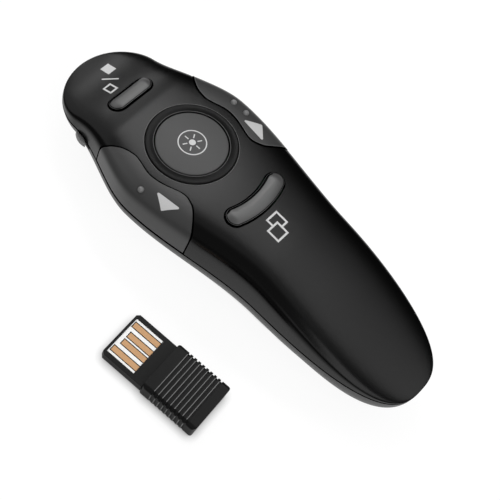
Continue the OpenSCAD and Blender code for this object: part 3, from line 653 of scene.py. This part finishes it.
def shell_fence():
    """Inner wall behind the side keys, seen through their gaps."""
    fence = prism("shell_fence", plan_outline(FENCE_OUT), SPLIT - FENCE_DOWN, SPLIT + FENCE_UP)
    combine(fence, prism("tool", plan_outline(FENCE_IN), 0, 20))
    beside = block("tool", (WING_FRONT - FENCE_PAST - MID, -CLEAR_Y, 0),
                   (WING_BACK - WING_FRONT + 2 * FENCE_PAST, 2 * CLEAR_Y, CLEAR_Z))
    combine(fence, beside, "INTERSECT")
    dress(fence, BELLY_MAT, "case", "shell_lower", "lower_shell")


def battery_door():
    """Door with grip grooves, cut from the same form as the belly."""
    door = body_solid("battery_door_skin", False)
    plate, runners = door_blocks(0.0)
    combine(plate, runners, "UNION")
    combine(door, plate, "INTERSECT")
    for k in range(GROOVE_COUNT):
        corner = (DOOR_AT + GROOVE_FROM + GROOVE_PITCH * k - MID, -GROOVE_LEN / 2, -1)
        combine(door, block("tool", corner, (GROOVE_W, GROOVE_LEN, 1 + GROOVE_DEEP)))
    dress(door, BELLY_MAT, "door", "shell_lower", "battery_door")


lower_shell()
shell_seam_shade()
shell_fence()
battery_door()

# ---------------------------------------------------------------- printed marks, and painted highlights along rims
# How far prints and the painted highlight and shade lines stand off their surface, and how wide the painted
# rim highlights are.
PRINT_T, LINE_T, RIM_HIGHLIGHT = 0.02, 0.01, 0.11


def mark(name, patches, height, body, matrix=None, material=PRINT):
    """Thin printed shapes, or thin painted highlight and shade lines. Each patch is a grid of (x, y) points;
    height gives z above the frame.
    """
    verts, faces = [], []
    for patch in patches:
        rows, cols = len(patch), len(patch[0])
        faces += grid_faces(rows, cols, start=len(verts))
        verts += [(x, y, height(x, y)) for row in patch for x, y in row]
    obj = mesh_object(name, verts, faces)
    if matrix is not None:
        obj.data.transform(matrix)
    for face in obj.data.polygons:
        face.use_smooth = True
    obj.data.materials.append(material)
    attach(obj, body)


def quad(a, b, c, d, n=8):
    """Four-cornered patch, as a grid of points."""
    a, b, c, d = (np.array(q, float) for q in (a, b, c, d))
    steps = np.linspace(0, 1, n)
    return [[tuple((1 - u) * ((1 - v) * a + v * b) + u * ((1 - v) * d + v * c)) for v in steps]
            for u in steps]


def line(a, b, width, n=10):
    a, b = np.array(a, float), np.array(b, float)
    side = np.array([-(b - a)[1], (b - a)[0]]) / np.linalg.norm(b - a) * width / 2
    return quad(a - side, b - side, b + side, a + side, n)


def square(x, y, half):
    return quad((x - half, y - half), (x + half, y - half), (x + half, y + half), (x - half, y + half))


def frame_lines(x, y, half, width, sides="nesw"):
    """Outlined square. x runs to the tail, so s and n are its near and far sides."""
    h, w = half - width / 2, half
    ends = {"n": ((x - w, y + h), (x + w, y + h)), "s": ((x - w, y - h), (x + w, y - h)),
            "w": ((x - h, y - w), (x - h, y + w)), "e": ((x + h, y - w), (x + h, y + w))}
    return [line(*ends[k], width) for k in sides]


def ring_band(x, y, r, width, n=64):
    return [[(x + q * math.cos(a), y + q * math.sin(a)) for q in (r - width / 2, r + width / 2)]
            for a in np.linspace(0, 2 * math.pi, n)]


def spot(x, y, r, n=32):
    return [[(x + q * math.cos(a), y + q * math.sin(a)) for q in np.linspace(0.01, r, 4)]
            for a in np.linspace(0, 2 * math.pi, n)]


def path_band(points, width):
    """Band along a line of points, in plan."""
    p = np.array(points)
    way = np.gradient(p, axis=0)
    side = np.stack([-way[:, 1], way[:, 0]], 1) / np.linalg.norm(way, axis=1)[:, None] * width / 2
    return [[tuple(a - b), tuple(a + b)] for a, b in zip(p, side)]


def arrow(*corners, r=0.25, n=5):
    """Filled triangle with corners (s, y), rounded by r."""
    p = [np.array(c, float) - (MID, 0) for c in corners]
    rounds = []
    for k in range(3):
        a, b = p[k - 1] - p[k], p[(k + 1) % 3] - p[k]
        a, b = a / np.linalg.norm(a), b / np.linalg.norm(b)
        half = math.acos(float(a @ b)) / 2
        reach = r / math.tan(half)
        centre = p[k] + (a + b) / np.linalg.norm(a + b) * r / math.sin(half)
        start, end = p[k] + a * reach - centre, p[k] + b * reach - centre
        turns = [(1 - t) * start + t * end for t in np.linspace(0, 1, n)]
        rounds.append([centre + q / np.linalg.norm(q) * r for q in turns])
    rim = []
    for k in range(3):
        a, b = rounds[k][-1], rounds[(k + 1) % 3][0]
        rim += rounds[k] + [a + (b - a) * t for t in np.linspace(0, 1, 12)[1:-1]]
    rim.append(rim[0])
    middle = sum(p) / 3
    return [[tuple(middle + (q - middle) * u) for u in np.linspace(0.01, 1, 7)] for q in rim]


def on_cover(x, y):
    return SPLIT + float(top_z(x + MID, y)) + PRINT_T


def on_wing(x, y):
    return SPLIT + float(top_z(x + MID, y)) + WING_PROUD + PRINT_T


def screen_marks():
    """Filled square, dash and open square, between the laser end and the straight key."""
    filled = square(5.25 - MID, 2.95, 1.22)
    dash = line((6.4 - MID, -0.35), (9.05 - MID, 2.1), 0.36)
    outlined = frame_lines(9.8 - MID, -1.35, 1.2, 0.42)
    mark("screen_marks", [filled, dash] + outlined, on_cover, "case")


def window_marks():
    """Two squares that overlap, the front one whole."""
    half, width = 1.75, 0.45
    behind = frame_lines(57.4 - MID, -0.2, half, width, "nw")
    whole = frame_lines(59.2 - MID, -1.9, half, width)
    stubs = [line((59.0 - MID, 1.5), (59.0 - MID, -0.2), width),
             line((55.7 - MID, -1.75), (57.5 - MID, -1.75), width)]
    mark("window_marks", behind + whole + stubs, on_cover, "case")


def painted_rim_highlights():
    """Painted highlights: fine light grey lines along the edges, where rounded edges would catch the light.
    """
    lip_r, opening_r = BUTTON_R + KEY_GAP + 0.1, RING_R + RING_GAP + 0.1
    mark("ring_rim_highlight", [ring_band(RING_AT - MID, 0, opening_r, RIM_HIGHLIGHT, 128)], on_cover, "case", material=EDGE_HIGHLIGHT)
    mark("ring_lip_highlight", [ring_band(0, 0, lip_r, 0.1, 128)], lambda x, y: RING_PROUD + LINE_T, "case",
         RING_FRAME, EDGE_HIGHLIGHT)
    mark("wing_rim_highlight", [path_band(wing_plan(1, -0.08)[:-3], RIM_HIGHLIGHT)], on_wing, "next_press", material=EDGE_HIGHLIGHT)


def laser_mark():
    """Round sun with six rays."""
    width, ray_from, ray_to = 0.26, 1.15, 2.2
    ways = [(math.cos(a), math.sin(a)) for a in np.arange(6) * math.pi / 3]
    rays = [line((ray_from * x, ray_from * y), (ray_to * x, ray_to * y), width) for x, y in ways]
    mark("laser_mark", [ring_band(0, 0, 3.1, width), spot(0, 0, 0.75)] + rays,
         lambda x, y: disc_z(math.hypot(x, y)) + PRINT_T, "laser_press", RING_FRAME)


screen_marks()
window_marks()
mark("previous_mark", [arrow((35.3, -14.2), (41.8, -13.6), (39.1, -16.6))], on_wing, "previous_press",
     material=KEY_PRINT)
mark("next_mark", [arrow((35.6, 13.1), (42.4, 12.2), (39.35, 15.6))], on_wing, "next_press",
     material=KEY_PRINT)
painted_rim_highlights()
laser_mark()

# ---------------------------------------------------------------- the receiver's painted shade and highlight lines
RECEIVER_AT, RECEIVER_TURN = Vector((-2.1, -36, 0)), math.radians(4)
RECEIVER_FRAME = Matrix.Translation(RECEIVER_AT * MM) @ Matrix.Rotation(RECEIVER_TURN, 4, "Z")
PLUG_LEN, PLUG_TOP, GRIP_W, GRIP_T, RIB_AT, RIB_PITCH, RIB_COUNT = 11.1, 3.1, 12.7, 5.0, 2.8, 1.1, 9
# How far the ribs' painted highlight lines stop short of the grip's edges, on its top and on its side.
RIB_SHORT, RIB_SIDE_SHORT = 0.8, 0.9
# Each contact's place across the plug, and where it starts.
CONTACTS = [(-3.5, 0.9), (-1, 1.6), (1, 1.6), (3.5, 0.9)]
CONTACT_HALF, CONTACT_BACK, CONTACT_DEEP, CONTACT_SHADE_LINE = 0.7, 8.0, 0.14, 0.2
# Rows of a frame whose Z points out of the grip's far side.
UPRIGHT = Matrix(((1, 0, 0, 0), (0, 0, -1, 0), (0, 1, 0, 0), (0, 0, 0, 1)))


def contact_shade_lines():
    """Painted shade: a dark line round the front and sides of each contact, where it lies below the plug's
    top.
    """
    outlines = []
    for y, front in CONTACTS:
        for edge in (y - CONTACT_HALF - 0.02, y + CONTACT_HALF + 0.02):
            outlines.append(line((front - CONTACT_SHADE_LINE / 2, edge), (CONTACT_BACK, edge), CONTACT_SHADE_LINE))
        outlines.append(line((front, y - CONTACT_HALF), (front, y + CONTACT_HALF), CONTACT_SHADE_LINE))
    mark("contact_shade_lines", outlines, lambda x, y: PLUG_TOP - CONTACT_DEEP, "receiver", RECEIVER_FRAME, GAP_SHADE)


def rib_highlight_lines(before, low, high, width):
    """A painted highlight line just before each groove of the grip, from low to high across it."""
    along = [PLUG_LEN + RIB_AT + RIB_PITCH * k - before for k in range(RIB_COUNT)]
    return [line((x, low), (x, high), width) for x in along]


contact_shade_lines()
mark("rib_highlight_lines", rib_highlight_lines(0.07, RIB_SHORT - GRIP_W / 2, GRIP_W / 2 - RIB_SHORT, 0.14),
     lambda x, y: GRIP_T + LINE_T, "receiver", RECEIVER_FRAME, RIB_HIGHLIGHT)
mark("rib_side_highlight_lines", rib_highlight_lines(0.09, RIB_SIDE_SHORT, GRIP_T - RIB_SIDE_SHORT, 0.18),
     lambda x, y: GRIP_W / 2 + LINE_T, "receiver", RECEIVER_FRAME @ UPRIGHT, RIB_HIGHLIGHT)

# ---------------------------------------------------------------- camera
# Elevation, turn and roll in degrees; distance in mm; scale in pixels per mm; the picture's centre in pixels.
CAM_ELEVATION, CAM_TURN, CAM_ROLL = 60.511, 15.011, -30.611
CAM_DISTANCE, CAM_SCALE, CAM_CENTRE = 268.37, 4.56, (247.19, 223.35)
PICTURE, SENSOR = 500, 36


def place_camera():
    e, a, r = (math.radians(v) for v in (CAM_ELEVATION, CAM_TURN, CAM_ROLL))
    back = Vector((math.cos(e) * math.sin(a), -math.cos(e) * math.cos(a), math.sin(e)))
    right = Vector((math.cos(a), math.sin(a), 0))
    up = Vector((-math.sin(e) * math.sin(a), math.sin(e) * math.cos(a), math.cos(e)))
    x = right * math.cos(r) - up * math.sin(r)
    y = right * math.sin(r) + up * math.cos(r)
    data = bpy.data.cameras.new("camera")
    data.sensor_width = SENSOR
    data.lens = CAM_SCALE * CAM_DISTANCE / PICTURE * SENSOR
    data.shift_x = (PICTURE / 2 - CAM_CENTRE[0]) / PICTURE
    data.shift_y = (CAM_CENTRE[1] - PICTURE / 2) / PICTURE
    data.clip_start, data.clip_end = 0.01, 10
    cam = bpy.data.objects.new("camera", data)
    bpy.context.scene.collection.objects.link(cam)
    cam.matrix_world = Matrix((x, y, back)).transposed().to_4x4()
    cam.location = Vector((0, 0, SPLIT * MM)) + back * CAM_DISTANCE * MM
    bpy.context.scene.camera = cam


place_camera()

# ---------------------------------------------------------------- floor, world and lights, in metres
scene = bpy.context.scene
scene.view_settings.view_transform = "Standard"
scene.view_settings.look = "None"

# The floor that lights the object, and the white one that is seen: a pale share that keeps
# shadows, and a glow that ambient occlusion darkens close to the object, a painted contact shadow.
FLOOR_LIT, FLOOR_PALE, FLOOR_GLOW, FLOOR_SHADOW_REACH = 0.8, 0.12, 0.91, 2 * MM
# The floor's reflection fades out towards the near side, between these places on Y.
FADE_OUT, FADE_IN, FADE_LOW = -0.06, -0.02, 0.1
WORLD_AXIS, WORLD_LOW, WORLD_HIGH = (0.0, -0.64, 0.77), 0.01, 0.34
STRIP_HEIGHT, BOX_DISTANCE, AIM_HEIGHT = 0.66, 0.8, 0.01
# Start, end, width and radiance of a long strip along the far side, from the laser end to the tail.
KEY_STRIPS = [
    ((-1.5, 0.89), (-1.0, 0.648), 0.22, 6.5),
    ((-1.0, 0.648), (-0.8, 0.561), 0.16, 4.5),
    ((-0.8, 0.541), (-0.5, 0.429), 0.16, 3.6),
    ((-0.5, 0.409), (-0.2, 0.333), 0.14, 11.0),
    ((-0.2, 0.335), (0.1, 0.323), 0.12, 6.8),
    ((0.1, 0.323), (0.4, 0.38), 0.12, 5.4),
    ((0.4, 0.38), (0.7, 0.48), 0.10, 5.4),
]


def light_path_mix(tree, seen, other):
    """What camera, glossy and transmission rays see, against what lights the object."""
    nodes, links = tree.nodes, tree.links
    path = nodes.new("ShaderNodeLightPath")
    factor = path.outputs["Is Camera Ray"]
    for ray in ("Is Glossy Ray", "Is Transmission Ray"):
        either = nodes.new("ShaderNodeMath")
        either.operation = "MAXIMUM"
        links.new(factor, either.inputs[0])
        links.new(path.outputs[ray], either.inputs[1])
        factor = either.outputs[0]
    mix = nodes.new("ShaderNodeMixShader")
    links.new(factor, mix.inputs[0])
    links.new(other, mix.inputs[1])
    links.new(seen, mix.inputs[2])
    return mix.outputs[0]


def glow_strength(tree):
    """Full for camera rays; for others it fades towards the near side."""
    nodes, links = tree.nodes, tree.links
    place, split, fade, path, either, strength = (nodes.new(k) for k in (
        "ShaderNodeTexCoord", "ShaderNodeSeparateXYZ", "ShaderNodeMapRange",
        "ShaderNodeLightPath", "ShaderNodeMath", "ShaderNodeMath"))
    fade.inputs["From Min"].default_value, fade.inputs["From Max"].default_value = FADE_OUT, FADE_IN
    fade.inputs["To Min"].default_value, fade.inputs["To Max"].default_value = FADE_LOW, 1.0
    either.operation, strength.operation = "MAXIMUM", "MULTIPLY"
    links.new(place.outputs["Object"], split.inputs[0])
    links.new(split.outputs["Y"], fade.inputs["Value"])
    links.new(fade.outputs["Result"], either.inputs[0])
    links.new(path.outputs["Is Camera Ray"], either.inputs[1])
    links.new(either.outputs[0], strength.inputs[0])
    strength.inputs[1].default_value = FLOOR_GLOW
    return strength.outputs[0]


def floor_material():
    mat = bpy.data.materials.new("floor_white")
    mat.use_nodes = True
    nodes, links = mat.node_tree.nodes, mat.node_tree.links
    nodes.clear()
    plain, pale = nodes.new("ShaderNodeBsdfDiffuse"), nodes.new("ShaderNodeBsdfDiffuse")
    plain.inputs["Color"].default_value = (*grey(FLOOR_LIT), 1)
    pale.inputs["Color"].default_value = (*grey(FLOOR_PALE), 1)
    # Ambient occlusion colours the glow: a painted contact shadow close to the object.
    glow, near = nodes.new("ShaderNodeEmission"), nodes.new("ShaderNodeAmbientOcclusion")
    near.inputs["Distance"].default_value = FLOOR_SHADOW_REACH
    links.new(near.outputs["Color"], glow.inputs["Color"])
    links.new(glow_strength(mat.node_tree), glow.inputs["Strength"])
    white, out = nodes.new("ShaderNodeAddShader"), nodes.new("ShaderNodeOutputMaterial")
    links.new(pale.outputs[0], white.inputs[0])
    links.new(glow.outputs[0], white.inputs[1])
    links.new(light_path_mix(mat.node_tree, white.outputs[0], plain.outputs[0]), out.inputs["Surface"])
    return mat


def floor(size=3.0):
    mesh = bpy.data.meshes.new("floor")
    corners = [(-size, -size, 0), (size, -size, 0), (size, size, 0), (-size, size, 0)]
    mesh.from_pydata(corners, [], [(0, 1, 2, 3)])
    mesh.materials.append(floor_material())
    obj = bpy.data.objects.new("floor", mesh)
    scene.collection.objects.link(obj)


def world():
    """Soft studio: pale on the near side and overhead, dark behind the clicker."""
    w = bpy.data.worlds.new("world")
    scene.world = w
    w.use_nodes = True
    nodes, links = w.node_tree.nodes, w.node_tree.links
    nodes.clear()
    coords, along = nodes.new("ShaderNodeTexCoord"), nodes.new("ShaderNodeVectorMath")
    along.operation = "DOT_PRODUCT"
    along.inputs[1].default_value = WORLD_AXIS
    ramp, sky = nodes.new("ShaderNodeValToRGB"), nodes.new("ShaderNodeBackground")
    out = nodes.new("ShaderNodeOutputWorld")
    ramp.color_ramp.elements[0].color = (*grey(WORLD_LOW), 1)
    ramp.color_ramp.elements[1].color = (*grey(WORLD_HIGH), 1)
    links.new(coords.outputs["Generated"], along.inputs[0])
    links.new(along.outputs["Value"], ramp.inputs[0])
    links.new(ramp.outputs[0], sky.inputs["Color"])
    links.new(sky.outputs[0], out.inputs["Surface"])


def lamp(name, length, width, radiance):
    data = bpy.data.lights.new(name, "AREA")
    data.shape, data.size, data.size_y = "RECTANGLE", length, width
    data.energy = radiance * math.pi * length * width
    obj = bpy.data.objects.new(name, data)
    scene.collection.objects.link(obj)
    return obj


def area_light(name, aim_from, size, radiance, turn=0.0):
    """Soft box seen from the object in the direction aim_from, with its long side turned by turn."""
    obj = lamp(name, size[0], size[1], radiance)
    back = Vector(aim_from).normalized()
    x = Vector((math.cos(turn), math.sin(turn), 0))
    y = back.cross(x).normalized()
    obj.matrix_world = Matrix((y.cross(back), y, back)).transposed().to_4x4()
    obj.location = back * BOX_DISTANCE + Vector((0, 0, AIM_HEIGHT))


def strip_light(name, start, end, width, radiance):
    """Soft strip lying level over the object, from start to end in plan."""
    a, b = Vector((*start, STRIP_HEIGHT)), Vector((*end, STRIP_HEIGHT))
    obj = lamp(name, (b - a).length, width, radiance)
    obj.location = (a + b) / 2
    obj.rotation_euler = (0, 0, math.atan2(b.y - a.y, b.x - a.x))


floor()
world()
for k, strip in enumerate(KEY_STRIPS):
    strip_light(f"key_strip_{k}", *strip)
strip_light("overhead", (-0.2, 0.13), (0.4, 0.2), 0.08, 1.0)
area_light("head_box", (-0.8, 0.1, 0.6), (0.6, 0.6), 1.35, math.pi / 2)
area_light("corner_box", (0.62, -0.3, 0.72), (0.2, 0.8), 4.2)
area_light("near_box", (0.5, -0.8, 0.36), (0.5, 0.34), 1.4)
